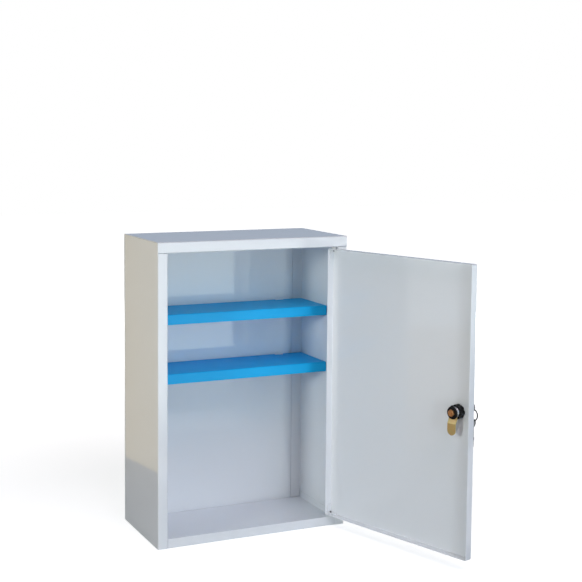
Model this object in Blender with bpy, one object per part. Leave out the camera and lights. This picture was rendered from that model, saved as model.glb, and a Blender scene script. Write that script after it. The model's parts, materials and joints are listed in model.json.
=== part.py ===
"""A wall cabinet for medicines: a folded sheet-steel carcass with one pan door, two shelf trays and a cam lock.

Metres, +Z up. The origin is the middle of the underside. The front faces -Y and the wall is at +Y.
The door is built closed around its own hinge axis, and an empty on that axis turns it open.
GAP lies between pieces that touch, and a cut that runs along a sheet's face stays CUT_OFFSET off it.
"""

import math

import bmesh
import bpy
from mathutils import Matrix, Vector

# Carcass
WIDTH = 0.340
HEIGHT = 0.500
DEPTH = 0.170
SHEET = 0.001
BEND = 0.002
GAP = 0.0003
CUT_OFFSET = 0.0001
STILE_WIDTH = 0.017
REAR_FLANGE = 0.020
TOP_LIP = 0.018
TOP_RETURN = 0.012
TOP_REAR_FLANGE = 0.012
BOTTOM_LIP = 0.016
SIDE_FLANGE = 0.012

# Keyholes in the back panel
KEYHOLE_SPACING = 0.230
KEYHOLE_DROP = 0.024
KEYHOLE_DIAMETER = 0.010
KEYHOLE_NECK = 0.005
KEYHOLE_RISE = 0.008

# Shelves
UPPER_SHELF_TOP = 0.372
LOWER_SHELF_TOP = 0.272
SHELF_DEPTH = 0.100
SHELF_LIP = 0.017
SHELF_BEND = 0.002
SLOT_FROM_SIDE = 0.048
SLOT_WIDTH = 0.020
SLOT_DEPTH = 0.0045
HOOK_WIDTH = 0.016
HOOK_DROP = 0.006
HOOK_RISE = 0.0035
WINDOW_HEIGHT = 0.014

# Door
DOOR_GAP = 0.003
DOOR_SIDE_GAP = 0.0015
DOOR_DEPTH = 0.014
DOOR_BEND = 0.002
DOOR_OPEN = math.radians(108)
HINGE_IN = 0.0045
HINGE_BACK = 0.0042
STILE_PLAY = 0.0007

# Hinge
PIN_DIAMETER = 0.0024
PIN_REACH = 0.0025
PIN_HEAD_DIAMETER = 0.0045
PIN_HEAD = 0.0012
BUSH_WALL = 0.0005
BUSH_FLANGE_DIAMETER = 0.008
UPPER_BUSH_FLANGE = 0.0020
BRACKET_SHEET = 0.0012
BRACKET_FROM_PLATE = 0.0005
BRACKET_LEG = 0.016
BRACKET_WIDTH = 0.008
LOWER_BRACKET_WIDTH = 0.017
LOWER_BRACKET_DEPTH = 0.014

# Door stops
STOP_HEIGHT = 0.020
STOP_LEG = 0.012
STOP_REACH = 0.0048
STOP_FROM_END = 0.080

# Lock
LOCK_FROM_EDGE = 0.029
LOCK_HEIGHT = 0.247
BARREL_DIAMETER = 0.0176
BARREL_LENGTH = 0.0145
RIM_DIAMETER = 0.023
RIM_THICKNESS = 0.003
NUT_DIAMETER = 0.025
NUT_THICKNESS = 0.006
NUT_RIBS = 12
NUT_RIB_HEIGHT = 0.0012
PLUG_DIAMETER = 0.012
TANG = 0.007
STUD_DIAMETER = 0.005
CAM_WIDTH = 0.0155
CAM_THICKNESS = 0.0016
CAM_REACH = 0.035
CAM_STEP = 0.0030
CAM_STEP_START = 0.0107
CAM_WASHER_DIAMETER = 0.020
CAM_WASHER_THICKNESS = 0.0015
CAM_NUT_ACROSS = 0.010
CAM_NUT_THICKNESS = 0.0035

# Keys
BLADE_WIDTH = 0.0066
BLADE_THICKNESS = 0.0020
BLADE_LENGTH = 0.0135
KEY_TEETH = 4
KEY_TOOTH = 0.0012
COLLAR_LENGTH = 0.004
COLLAR_WIDTH = 0.009
SHANK_LENGTH = 0.016
BOW_RADIUS = 0.0075
BOW_HOLE_DIAMETER = 0.0055
BOW_HOLE_FROM_END = 0.0053
RING_RADIUS = 0.0095
RING_WIRE = 0.0018

ROUND_SEGMENTS = 32
SMALL_SEGMENTS = 20
BEND_STEPS = 3

# Places worked out from the sizes above
FRONT = -DEPTH / 2
BACK = DEPTH / 2
HALF = WIDTH / 2
REAR_INNER = BACK - SHEET - GAP
FLANGE_FRONT = REAR_INNER - SHEET
WEB_TOP = HEIGHT - SHEET - GAP
STILE_TOP = HEIGHT - TOP_LIP - GAP
OPENING_TOP = HEIGHT - TOP_LIP
WELD = SHEET + GAP
DOOR_WIDTH = WIDTH - 2 * STILE_WIDTH - 2 * DOOR_SIDE_GAP
DOOR_BOTTOM = BOTTOM_LIP + DOOR_GAP
DOOR_TOP = OPENING_TOP - DOOR_GAP
DOOR_HEIGHT = DOOR_TOP - DOOR_BOTTOM
HINGE_X = HALF - STILE_WIDTH - DOOR_SIDE_GAP - HINGE_IN
HINGE_Y = FRONT + HINGE_BACK
LOCK_X = HINGE_IN - DOOR_WIDTH + LOCK_FROM_EDGE
SLOT_X = HALF - SHEET - SLOT_FROM_SIDE
BUSH_BORE = PIN_DIAMETER + 2 * GAP
BUSH_DIAMETER = BUSH_BORE + 2 * BUSH_WALL
BUSH_HOLE = BUSH_DIAMETER + 2 * GAP
PLUG_BORE = PLUG_DIAMETER + 2 * GAP
BARREL_HOLE = BARREL_DIAMETER + 2 * GAP
CAM_NEAR = BARREL_LENGTH + GAP
CAM_FAR = CAM_NEAR + CAM_THICKNESS
STILE_RETURN = CAM_NEAR + CAM_STEP - STILE_PLAY
WASHER_NEAR = CAM_FAR + GAP
NUT_NEAR = WASHER_NEAR + CAM_WASHER_THICKNESS + GAP
RIM_FRONT = -GAP - RIM_THICKNESS
KEY_SHOULDER = RIM_FRONT - GAP
KEY_TIP = KEY_SHOULDER + BLADE_LENGTH
BOW_END = KEY_SHOULDER - COLLAR_LENGTH - SHANK_LENGTH - 2 * BOW_RADIUS
BOW_HOLE_Y = BOW_END + BOW_HOLE_FROM_END
RING_SLACK = BOW_HOLE_DIAMETER / 2 - RING_WIRE / 2 - GAP


def clear_scene():
    for old in list(bpy.data.objects):
        bpy.data.objects.remove(old, do_unlink=True)


def material(name, color, roughness, metallic=0.0):
    made = bpy.data.materials.new(name)
    made.use_nodes = True
    shader = made.node_tree.nodes["Principled BSDF"]
    shader.inputs["Base Color"].default_value = (*color, 1.0)
    shader.inputs["Roughness"].default_value = roughness
    shader.inputs["Metallic"].default_value = metallic
    return made


def mesh_object(name, points, faces, finish=None, parent=None, smooth=False):
    """One object from points and faces, its normals turned outwards."""
    mesh = bpy.data.meshes.new(name)
    mesh.from_pydata([tuple(p) for p in points], [], faces)
    editable = bmesh.new()
    editable.from_mesh(mesh)
    bmesh.ops.recalc_face_normals(editable, faces=editable.faces)
    editable.to_mesh(mesh)
    editable.free()
    if smooth:
        mesh.shade_smooth()
        mesh.set_sharp_from_angle(angle=math.radians(35))
    made = bpy.data.objects.new(name, mesh)
    bpy.context.scene.collection.objects.link(made)
    if finish:
        mesh.materials.append(finish)
    if parent:
        made.parent = parent
    return made


def along(axis, u, v, w):
    """The point at u, v in the section square to an axis and w along it, right-handed for each axis."""
    if axis == "x":
        return (w, u, v)
    if axis == "y":
        return (v, w, u)
    return (u, v, w)


def arc(center, radius, start, end, steps):
    """Points on a circle's arc, both ends included, angles in radians."""
    return [
        (
            center[0] + radius * math.cos(start + (end - start) * i / steps),
            center[1] + radius * math.sin(start + (end - start) * i / steps),
        )
        for i in range(steps + 1)
    ]


def folded_sides(path, thickness, bend):
    """The outer and the inner side of a folded sheet whose material lies to the right of a path that turns right.

    Each corner becomes an arc of the bend radius outside and of the bend radius less the sheet inside."""
    outer, inner = [], []
    for i, point in enumerate(path):
        here = Vector(point)
        before = (here - Vector(path[i - 1])).normalized() if i else None
        after = (Vector(path[i + 1]) - here).normalized() if i < len(path) - 1 else None
        if before is None or after is None:
            along_path = after or before
            inward = Vector((along_path.y, -along_path.x))
            outer.append(here)
            inner.append(here + inward * thickness)
            continue
        turn = before.angle_signed(after)
        center = here + (Vector((before.y, -before.x)) + Vector((after.y, -after.x))) * (
            bend / (1 + math.cos(turn))
        )
        start = Vector((-before.y, before.x))
        for step in range(BEND_STEPS + 1):
            normal = start.copy()
            normal.rotate(Matrix.Rotation(-turn * step / BEND_STEPS, 2))
            outer.append(center + normal * bend)
            inner.append(center + normal * (bend - thickness))
    return outer, inner


def folded_sheet(name, path, axis, start, end, finish=None, thickness=SHEET, bend=BEND):
    """A folded sheet of one section, extruded along an axis."""
    outer, inner = folded_sides(path, thickness, bend)
    count = len(outer)
    points = []
    for w in (start, end):
        for side in (outer, inner):
            points += [along(axis, p.x, p.y, w) for p in side]
    far = 2 * count
    faces = []
    for i in range(count - 1):
        faces.append((i, i + 1, count + i + 1, count + i))
        faces.append((far + i, far + count + i, far + count + i + 1, far + i + 1))
        faces.append((i, far + i, far + i + 1, i + 1))
        faces.append((count + i, count + i + 1, far + count + i + 1, far + count + i))
    for i in (0, count - 1):
        faces.append((i, count + i, far + count + i, far + i))
    return mesh_object(name, points, faces, finish, smooth=True)


def box(name, low, high, finish=None, parent=None):
    points = [(x, y, z) for x in (low[0], high[0]) for y in (low[1], high[1]) for z in (low[2], high[2])]
    faces = [(0, 1, 3, 2), (4, 6, 7, 5), (0, 4, 5, 1), (2, 3, 7, 6), (0, 2, 6, 4), (1, 5, 7, 3)]
    return mesh_object(name, points, faces, finish, parent)


def prism(name, outline, axis, start, end, finish=None, parent=None):
    """A closed outline extruded along an axis."""
    count = len(outline)
    points = [along(axis, u, v, w) for w in (start, end) for u, v in outline]
    faces = [tuple(range(count)), tuple(range(2 * count - 1, count - 1, -1))]
    faces += [(i, (i + 1) % count, count + (i + 1) % count, count + i) for i in range(count)]
    return mesh_object(name, points, faces, finish, parent, smooth=True)


def ring_prism(name, outer, inner, axis, start, end, finish=None, parent=None):
    """A plate with one hole: two outlines of as many points, extruded along an axis."""
    count = len(outer)
    points = [along(axis, u, v, w) for w in (start, end) for side in (outer, inner) for u, v in side]
    far = 2 * count
    faces = []
    for i in range(count):
        j = (i + 1) % count
        faces.append((i, j, count + j, count + i))
        faces.append((far + i, far + count + i, far + count + j, far + j))
        faces.append((i, far + i, far + j, j))
        faces.append((count + i, count + j, far + count + j, far + count + i))
    return mesh_object(name, points, faces, finish, parent, smooth=True)


def circle(radius, center=(0.0, 0.0), segments=ROUND_SEGMENTS):
    return arc(center, radius, 0, 2 * math.pi, segments)[:-1]


def turned(name, profile, axis, center, finish=None, parent=None, segments=ROUND_SEGMENTS):
    """A turned piece: a closed profile of radius and height, carried round an axis through a centre."""
    rows = []
    points = []
    for radius, height in profile:
        if radius < 1e-9:
            rows.append([len(points)] * segments)
            points.append(along(axis, 0.0, 0.0, height))
            continue
        rows.append([len(points) + i for i in range(segments)])
        points += [along(axis, u, v, height) for u, v in circle(radius, segments=segments)]
    faces = []
    for k, row in enumerate(rows):
        following = rows[(k + 1) % len(rows)]
        for i in range(segments):
            j = (i + 1) % segments
            corners = [row[i], row[j], following[j], following[i]]
            face = [c for n, c in enumerate(corners) if c != corners[n - 1]]
            if len(face) > 2:
                faces.append(tuple(face))
    points = [Vector(p) + Vector(center) for p in points]
    return mesh_object(name, points, faces, finish, parent, smooth=True)


def guide(cutter):
    cutter.hide_render = True
    cutter.display_type = "WIRE"


def boolean(target, tool, operation="DIFFERENCE"):
    """Cuts, joins or trims the target with a tool, which stays in the file as a guide."""
    change = target.modifiers.new(tool.name, "BOOLEAN")
    change.operation = operation
    change.solver = "EXACT"
    change.object = tool
    guide(tool)


def cut_box(target, name, low, high, parent=None):
    boolean(target, box(name, low, high, parent=parent))


def cut_round(target, name, axis, center, radius, start, end, parent=None, segments=SMALL_SEGMENTS):
    profile = [(0.0, start), (radius, start), (radius, end), (0.0, end)]
    boolean(target, turned(name, profile, axis, center, parent=parent, segments=segments))


def rounded_rectangle(half_u, half_v, radius):
    """The corners' arcs of a rectangle around its middle."""
    points = []
    for quarter, (su, sv) in enumerate(((1, 1), (-1, 1), (-1, -1), (1, -1))):
        center = (su * (half_u - radius), sv * (half_v - radius))
        points += arc(center, radius, quarter * math.pi / 2, (quarter + 1) * math.pi / 2, BEND_STEPS)
    return points


def pan(name, axis, center, size, depth, bend, finish, parent=None):
    """A pressed pan with closed corners: its plate lies at w = 0 and its four flanges run to w = depth.

    Outer and inner skins are stacks of rounded rectangles that shrink along the bend's arc."""
    half_u, half_v = size[0] / 2, size[1] / 2

    def skin(offset):
        radius = bend - offset
        loops = [(depth, 0.0)]
        for step in range(BEND_STEPS + 1):
            angle = step * math.pi / 2 / BEND_STEPS
            loops.append((bend - radius * math.sin(angle), radius * (1 - math.cos(angle))))
        corner = [max(radius - inset, radius * 0.3) for _, inset in loops]
        return [
            [along(axis, u, v, w) for u, v in rounded_rectangle(half_u - offset - inset, half_v - offset - inset, r)]
            for (w, inset), r in zip(loops, corner)
        ]

    outer, inner = skin(0.0), skin(SHEET)
    loops = list(reversed(inner)) + outer
    count = len(loops[0])
    points = [Vector(p) + Vector(center) for loop in loops for p in loop]
    faces = [tuple(range(count)), tuple(range(len(points) - 1, len(points) - count - 1, -1))]
    for k in range(len(loops) - 1):
        for i in range(count):
            j = (i + 1) % count
            faces.append((k * count + i, k * count + j, (k + 1) * count + j, (k + 1) * count + i))
    return mesh_object(name, points, faces, finish, parent, smooth=True)


def empty(name, place, parent=None, turn=0.0):
    made = bpy.data.objects.new(name, None)
    made.empty_display_size = 0.02
    made.location = place
    made.rotation_euler = (0.0, 0.0, turn)
    made.parent = parent
    bpy.context.scene.collection.objects.link(made)
    return made


def side_panel(side, finish):
    """Stile with its return, side and rear flange, folded from one sheet. The section is drawn for the left."""
    name = "left_side_panel" if side < 0 else "right_side_panel"
    section = [
        (-HALF + STILE_WIDTH, FRONT + STILE_RETURN),
        (-HALF + STILE_WIDTH, FRONT),
        (-HALF, FRONT),
        (-HALF, REAR_INNER),
        (-HALF + REAR_FLANGE, REAR_INNER),
    ]
    panel = folded_sheet(name, section, "z", 0.0, WEB_TOP, finish)
    if side > 0:
        for vertex in panel.data.vertices:
            vertex.co.x = -vertex.co.x
        panel.data.flip_normals()
    inner_ends = sorted((side * (HALF - SHEET - CUT_OFFSET), side * (HALF - STILE_WIDTH - SHEET)))
    cut_box(
        panel,
        f"{name}_stile_cut",
        (inner_ends[0], FRONT - SHEET, STILE_TOP),
        (inner_ends[1], FRONT + STILE_RETURN + SHEET, HEIGHT),
    )
    outer_ends = sorted((side * (HALF + SHEET), side * (HALF - BEND)))
    cut_box(
        panel,
        f"{name}_corner_cut",
        (outer_ends[0], FRONT - SHEET, STILE_TOP),
        (outer_ends[1], FRONT + WELD, HEIGHT),
    )
    return panel


def side_flanges(panel, low_z, high_z, front):
    """Flanges on a top or bottom panel that lie against the side panels, where they are welded."""
    for side in (-1, 1):
        ends = sorted((side * (HALF - WELD), side * (HALF - WELD - SHEET)))
        strip = box(
            f"{panel.name}_flange_{'left' if side < 0 else 'right'}",
            (ends[0], front, low_z),
            (ends[1], FLANGE_FRONT - WELD, high_z),
        )
        boolean(panel, strip, "UNION")


def top_panel(finish):
    section = [
        (FRONT + TOP_RETURN, OPENING_TOP),
        (FRONT, OPENING_TOP),
        (FRONT, HEIGHT),
        (REAR_INNER, HEIGHT),
        (REAR_INNER, HEIGHT - TOP_REAR_FLANGE),
    ]
    # The section runs up the front and back over the top, so its material lies to the right.
    panel = folded_sheet("top_panel", section, "x", -HALF, HALF, finish)
    for side in (-1, 1):
        word = "left" if side < 0 else "right"
        front_ends = sorted((side * (HALF + SHEET), side * (HALF - WELD)))
        cut_box(
            panel,
            f"top_return_cut_{word}",
            (front_ends[0], FRONT + SHEET + CUT_OFFSET, OPENING_TOP - SHEET),
            (front_ends[1], FRONT + TOP_RETURN + SHEET, HEIGHT - SHEET - CUT_OFFSET),
        )
        rear_ends = sorted((side * (HALF + SHEET), side * (HALF - REAR_FLANGE - GAP)))
        cut_box(
            panel,
            f"top_rear_cut_{word}",
            (rear_ends[0], FLANGE_FRONT - BEND, HEIGHT - TOP_REAR_FLANGE - SHEET),
            (rear_ends[1], BACK, HEIGHT - SHEET - CUT_OFFSET),
        )
    side_flanges(panel, HEIGHT - SIDE_FLANGE, HEIGHT - SHEET / 2, FRONT + STILE_RETURN + BEND)
    cut_round(
        panel,
        "upper_pin_hole",
        "z",
        (HINGE_X, HINGE_Y, 0.0),
        PIN_DIAMETER / 2 + GAP,
        OPENING_TOP - SHEET,
        OPENING_TOP + 2 * SHEET,
    )
    return panel


def bottom_panel(finish):
    """The floor sheet between the sides, with a lip between the stiles and a flange up each side."""
    section = [(REAR_INNER, 0.0), (FRONT, 0.0), (FRONT, BOTTOM_LIP)]
    panel = folded_sheet("bottom_panel", section, "x", -HALF + WELD, HALF - WELD, finish)
    for side in (-1, 1):
        word = "left" if side < 0 else "right"
        ends = sorted((side * HALF, side * (HALF - STILE_WIDTH - GAP)))
        cut_box(
            panel,
            f"bottom_lip_cut_{word}",
            (ends[0], FRONT - SHEET, -SHEET),
            (ends[1], FRONT + STILE_RETURN + GAP, BOTTOM_LIP + SHEET),
        )
        ends = sorted((side * HALF, side * (HALF - REAR_FLANGE - GAP)))
        cut_box(
            panel, f"bottom_rear_cut_{word}", (ends[0], FLANGE_FRONT - GAP, -SHEET), (ends[1], BACK, 2 * SHEET)
        )
    side_flanges(panel, SHEET / 2, SIDE_FLANGE, FRONT + STILE_RETURN + BEND)
    return panel


def back_panel(finish):
    panel = box("back_panel", (-HALF, BACK - SHEET, 0.0), (HALF, BACK, HEIGHT), finish)
    for side in (-1, 1):
        word = "left" if side < 0 else "right"
        for shelf, top in (("upper", UPPER_SHELF_TOP), ("lower", LOWER_SHELF_TOP)):
            hook_on_back(panel, f"{shelf}_{word}", side * SLOT_X, top)
        x = side * KEYHOLE_SPACING / 2
        low = HEIGHT - KEYHOLE_DROP
        cut_round(
            panel, f"keyhole_{word}", "y", (x, 0.0, low), KEYHOLE_DIAMETER / 2, BACK - 2 * SHEET, BACK + SHEET
        )
        cut_box(
            panel,
            f"keyhole_neck_{word}",
            (x - KEYHOLE_NECK / 2, BACK - 2 * SHEET, low),
            (x + KEYHOLE_NECK / 2, BACK + SHEET, low + KEYHOLE_RISE),
        )
    return panel


def slot_ends():
    """Front and back of the shelf's slot, which clears the rear lip."""
    back = FLANGE_FRONT - GAP - SHELF_BEND - SHEET
    return back - SLOT_DEPTH, back


def hook_on_back(panel, word, x, shelf_top):
    """A tongue lanced out of the back panel: forward under the shelf, then up through the shelf's slot."""
    slot_front, slot_back = slot_ends()
    tongue_front = (slot_front + slot_back - SHEET) / 2
    low = shelf_top - HOOK_DROP
    cut_box(
        panel,
        f"window_{word}",
        (x - HOOK_WIDTH / 2 - GAP, BACK - 2 * SHEET, low - WINDOW_HEIGHT),
        (x + HOOK_WIDTH / 2 + GAP, BACK + SHEET, low),
    )
    section = [
        (BACK - SHEET / 2, low),
        (tongue_front, low),
        (tongue_front, shelf_top + HOOK_RISE),
    ]
    tongue = folded_sheet(f"hook_{word}", section, "x", x - HOOK_WIDTH / 2, x + HOOK_WIDTH / 2)
    boolean(panel, tongue, "UNION")


def shelf(name, top, finish):
    """A pressed tray, open below, whose side lips are welded to the side panels."""
    width = WIDTH - 2 * WELD
    back = FLANGE_FRONT - GAP
    tray = pan(
        name,
        "z",
        (0.0, back - SHELF_DEPTH / 2, 0.0),
        (width, SHELF_DEPTH),
        SHELF_LIP,
        SHELF_BEND,
        finish,
    )
    for vertex in tray.data.vertices:
        vertex.co.z = top - vertex.co.z
    tray.data.flip_normals()
    slot_front, slot_back = slot_ends()
    for side in (-1, 1):
        x = side * SLOT_X
        cut_box(
            tray,
            f"{name}_slot_{'left' if side < 0 else 'right'}",
            (x - SLOT_WIDTH / 2, slot_front, top - 2 * SHEET),
            (x + SLOT_WIDTH / 2, slot_back, top + SHEET),
        )
        cut_box(
            tray,
            f"{name}_notch_{'left' if side < 0 else 'right'}",
            (x - SLOT_WIDTH / 2, slot_back, top - SHELF_LIP - SHEET),
            (x + SLOT_WIDTH / 2, back + SHEET, top - HOOK_DROP + WELD),
        )
    return tray


def lower_hinge_bracket(finish):
    """An angle welded behind the bottom lip, level with its top, that carries the lower pin."""
    section = [
        (FRONT + WELD, BEND + WELD),
        (FRONT + WELD, BOTTOM_LIP),
        (FRONT + WELD + LOWER_BRACKET_DEPTH, BOTTOM_LIP),
    ]
    right = HALF - STILE_WIDTH - GAP
    bracket = folded_sheet(
        "lower_hinge_bracket",
        section,
        "x",
        right - LOWER_BRACKET_WIDTH,
        right,
        finish,
        bend=WELD,
    )
    cut_round(
        bracket,
        "lower_pin_hole",
        "z",
        (HINGE_X, HINGE_Y, 0.0),
        PIN_DIAMETER / 2 + GAP,
        BOTTOM_LIP - 2 * SHEET,
        BOTTOM_LIP + SHEET,
    )
    cut_box(
        bracket,
        "lower_pin_head_room",
        (HINGE_X - PIN_HEAD_DIAMETER, FRONT, 0.0),
        (HALF, FRONT + WELD + SHEET + GAP, BOTTOM_LIP - SHEET),
    )
    return bracket


def hinge_pins(finish):
    """A rivet down through the top lip's return, and one up through the lower bracket."""
    shank, head = PIN_DIAMETER / 2, PIN_HEAD_DIAMETER / 2
    reach = SHEET + GAP + BRACKET_SHEET + PIN_REACH
    seat = OPENING_TOP + SHEET + GAP
    upper = [(0.0, DOOR_TOP - reach), (shank, DOOR_TOP - reach), (shank, seat)]
    upper += [(head, seat), (head, seat + PIN_HEAD / 2), (head * 0.6, seat + PIN_HEAD), (0.0, seat + PIN_HEAD)]
    seat = BOTTOM_LIP - SHEET - GAP
    lower = [(0.0, DOOR_BOTTOM + reach), (shank, DOOR_BOTTOM + reach), (shank, seat)]
    lower += [(head, seat), (head, seat - PIN_HEAD / 2), (head * 0.6, seat - PIN_HEAD), (0.0, seat - PIN_HEAD)]
    for name, profile in (("upper_hinge_pin", upper), ("lower_hinge_pin", lower)):
        turned(name, profile, "z", (HINGE_X, HINGE_Y, 0.0), finish, segments=SMALL_SEGMENTS)


def door_stop(name, middle, finish):
    """An angle welded inside the left stile's return. Its tab stands behind the closed door's free flange."""
    leg_x = -HALF + STILE_WIDTH - WELD - SHEET
    tab_y = FRONT + STILE_RETURN + WELD
    section = [(leg_x, tab_y - STOP_LEG), (leg_x, tab_y), (-HALF + STILE_WIDTH + STOP_REACH, tab_y)]
    ends = (middle - STOP_HEIGHT / 2, middle + STOP_HEIGHT / 2)
    return folded_sheet(name, section, "z", *ends, finish, bend=WELD)


def door_buffer(name, middle, finish):
    """A rubber pad on the stop's tab, which the door's flange meets."""
    left = -HALF + STILE_WIDTH + GAP
    low = (left, FRONT + DOOR_DEPTH + GAP, middle - STOP_HEIGHT / 2)
    high = (left - GAP + STOP_REACH, FRONT + STILE_RETURN, middle + STOP_HEIGHT / 2)
    return box(name, low, high, finish)


def door_panel(hinge, finish):
    middle_x = HINGE_IN - DOOR_WIDTH / 2
    middle_z = (DOOR_TOP + DOOR_BOTTOM) / 2
    panel = pan(
        "door_panel",
        "y",
        (middle_x, -HINGE_BACK, middle_z),
        (DOOR_HEIGHT, DOOR_WIDTH),
        DOOR_DEPTH,
        DOOR_BEND,
        finish,
        hinge,
    )
    cut_round(
        panel,
        "door_lock_hole",
        "y",
        (LOCK_X, 0.0, LOCK_HEIGHT),
        BARREL_HOLE / 2,
        -HINGE_BACK - SHEET,
        -HINGE_BACK + 2 * SHEET,
        hinge,
        ROUND_SEGMENTS,
    )
    for word, z in (("upper", DOOR_TOP), ("lower", DOOR_BOTTOM)):
        cut_round(
            panel, f"door_{word}_hole", "z", (0.0, 0.0, 0.0), BUSH_HOLE / 2, z - 2 * SHEET, z + 2 * SHEET, hinge
        )
    return panel


def door_bracket(word, hinge, finish):
    """An angle in the pan's hinge corner: one leg on the hinge flange, one on the top or bottom flange."""
    outer_x = HINGE_IN - WELD
    up = 1 if word == "upper" else -1
    outer_z = (DOOR_TOP if up > 0 else DOOR_BOTTOM) - up * WELD
    section = [
        (outer_x - BRACKET_LEG, outer_z),
        (outer_x, outer_z),
        (outer_x, outer_z - up * BRACKET_LEG),
    ]
    if up < 0:
        section = list(reversed(section))
    # The section's plane has Z first, as the helper for the Y axis takes it.
    section = [(z, x) for x, z in reversed(section)]
    near = -HINGE_BACK + SHEET + BRACKET_FROM_PLATE
    bracket = folded_sheet(
        f"door_{word}_bracket",
        section,
        "y",
        near,
        near + BRACKET_WIDTH,
        finish,
        thickness=BRACKET_SHEET,
        bend=BRACKET_SHEET + GAP,
    )
    bracket.parent = hinge
    cut_round(
        bracket,
        f"door_{word}_bracket_hole",
        "z",
        (0.0, 0.0, 0.0),
        BUSH_BORE / 2,
        outer_z - 2 * BRACKET_SHEET,
        outer_z + 2 * BRACKET_SHEET,
        hinge,
    )
    return bracket


def hinge_bush(word, hinge, finish):
    """A flanged bush in the pan's flange. The lower one fills the gap and carries the door."""
    up = 1 if word == "upper" else -1
    face = DOOR_TOP if up > 0 else DOOR_BOTTOM
    flange = UPPER_BUSH_FLANGE if up > 0 else DOOR_GAP - 2 * GAP
    seat = face + up * GAP
    tip = face - up * SHEET
    bore, wall, rim = BUSH_BORE / 2, BUSH_DIAMETER / 2, BUSH_FLANGE_DIAMETER / 2
    profile = [
        (bore, tip),
        (wall, tip),
        (wall, seat),
        (rim, seat),
        (rim, seat + up * flange),
        (bore, seat + up * flange),
    ]
    return turned(
        f"{word}_hinge_bush", profile, "z", (0.0, 0.0, 0.0), finish, hinge, segments=SMALL_SEGMENTS
    )


def lock_body(lock, finish):
    """The barrel and its round rim, bored for the plug."""
    chamfer = RIM_THICKNESS / 4
    rim, barrel, bore = RIM_DIAMETER / 2, BARREL_DIAMETER / 2, PLUG_BORE / 2
    profile = [
        (bore, RIM_FRONT),
        (rim - chamfer, RIM_FRONT),
        (rim, RIM_FRONT + chamfer),
        (rim, -GAP),
        (barrel, -GAP),
        (barrel, BARREL_LENGTH),
        (bore, BARREL_LENGTH),
    ]
    return turned("lock_body", profile, "y", (0.0, 0.0, 0.0), finish, lock)


def lock_nut(lock, finish):
    """The ribbed ring that clamps the barrel: its outer radius rises and falls once per rib."""
    count = NUT_RIBS * 4
    outer, inner = [], []
    for i in range(count):
        angle = 2 * math.pi * i / count
        radius = NUT_DIAMETER / 2 - NUT_RIB_HEIGHT * (0.5 - 0.5 * math.cos(NUT_RIBS * angle))
        outer.append((radius * math.cos(angle), radius * math.sin(angle)))
        inner.append((BARREL_HOLE / 2 * math.cos(angle), BARREL_HOLE / 2 * math.sin(angle)))
    near = SHEET + GAP
    return ring_prism("lock_nut", outer, inner, "y", near, near + NUT_THICKNESS, finish, lock)


def lock_plug(plug, finish):
    """The turning core: a round plug with the keyway, a square tang for the cam and a stud for the nut."""
    radius, stud = PLUG_DIAMETER / 2, STUD_DIAMETER / 2
    end = NUT_NEAR + CAM_NUT_THICKNESS + GAP
    profile = [
        (0.0, RIM_FRONT),
        (radius, RIM_FRONT),
        (radius, BARREL_LENGTH - GAP),
        (stud, BARREL_LENGTH - GAP),
        (stud, end),
        (0.0, end),
    ]
    core = turned("lock_plug", profile, "y", (0.0, 0.0, 0.0), finish, plug)
    half = TANG / 2
    tang = box("tang", (-half, BARREL_LENGTH - 2 * GAP, -half), (half, CAM_FAR - GAP, half), parent=plug)
    boolean(core, tang, "UNION")
    cut_box(
        core,
        "keyway",
        (-BLADE_THICKNESS / 2 - GAP, RIM_FRONT - SHEET, -BLADE_WIDTH / 2 - GAP),
        (BLADE_THICKNESS / 2 + GAP, KEY_TIP + GAP, BLADE_WIDTH / 2 + GAP),
        plug,
    )
    return core


def lock_cam(plug, finish):
    """A plate with round ends, stepped away from the door below its hub, on the plug's square tang."""
    radius = CAM_WIDTH / 2
    step_end = CAM_STEP_START + 2 * CAM_STEP
    levels = [(radius, 0.0), (-CAM_STEP_START, 0.0), (-step_end, CAM_STEP), (-CAM_REACH, CAM_STEP)]
    near = [(z, CAM_NEAR + rise) for z, rise in levels]
    far = [(z, CAM_FAR + rise) for z, rise in reversed(levels)]
    outline = [(y, z) for z, y in near + far]
    cam = prism("lock_cam", outline, "x", -radius, radius, finish, plug)
    tip = -(CAM_REACH - radius)
    shape = arc((0.0, 0.0), radius, -math.pi / 2, math.pi / 2, 12)
    shape += arc((tip, 0.0), radius, math.pi / 2, 3 * math.pi / 2, 12)
    trim = prism("cam_outline", shape, "y", CAM_NEAR - SHEET, CAM_FAR + CAM_STEP + SHEET, parent=plug)
    boolean(cam, trim, "INTERSECT")
    half = TANG / 2 + GAP
    cut_box(cam, "cam_square", (-half, CAM_NEAR - SHEET, -half), (half, CAM_FAR + SHEET, half), plug)
    return cam


def cam_washer(plug, finish):
    bore = STUD_DIAMETER / 2 + GAP
    rim = CAM_WASHER_DIAMETER / 2
    far = WASHER_NEAR + CAM_WASHER_THICKNESS
    profile = [(bore, WASHER_NEAR), (rim, WASHER_NEAR), (rim, far), (bore, far)]
    return turned("cam_washer", profile, "y", (0.0, 0.0, 0.0), finish, plug)


def cam_nut(plug, finish):
    """A hexagon nut on the stud."""
    count = 24
    inner = circle(STUD_DIAMETER / 2 + GAP, segments=count)
    outer = []
    for i in range(count):
        angle = 2 * math.pi * i / count
        to_flat = (angle + math.pi / 6) % (math.pi / 3) - math.pi / 6
        radius = CAM_NUT_ACROSS / 2 / math.cos(to_flat)
        outer.append((radius * math.cos(angle), radius * math.sin(angle)))
    return ring_prism("cam_nut", outer, inner, "y", NUT_NEAR, NUT_NEAR + CAM_NUT_THICKNESS, finish, plug)


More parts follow.
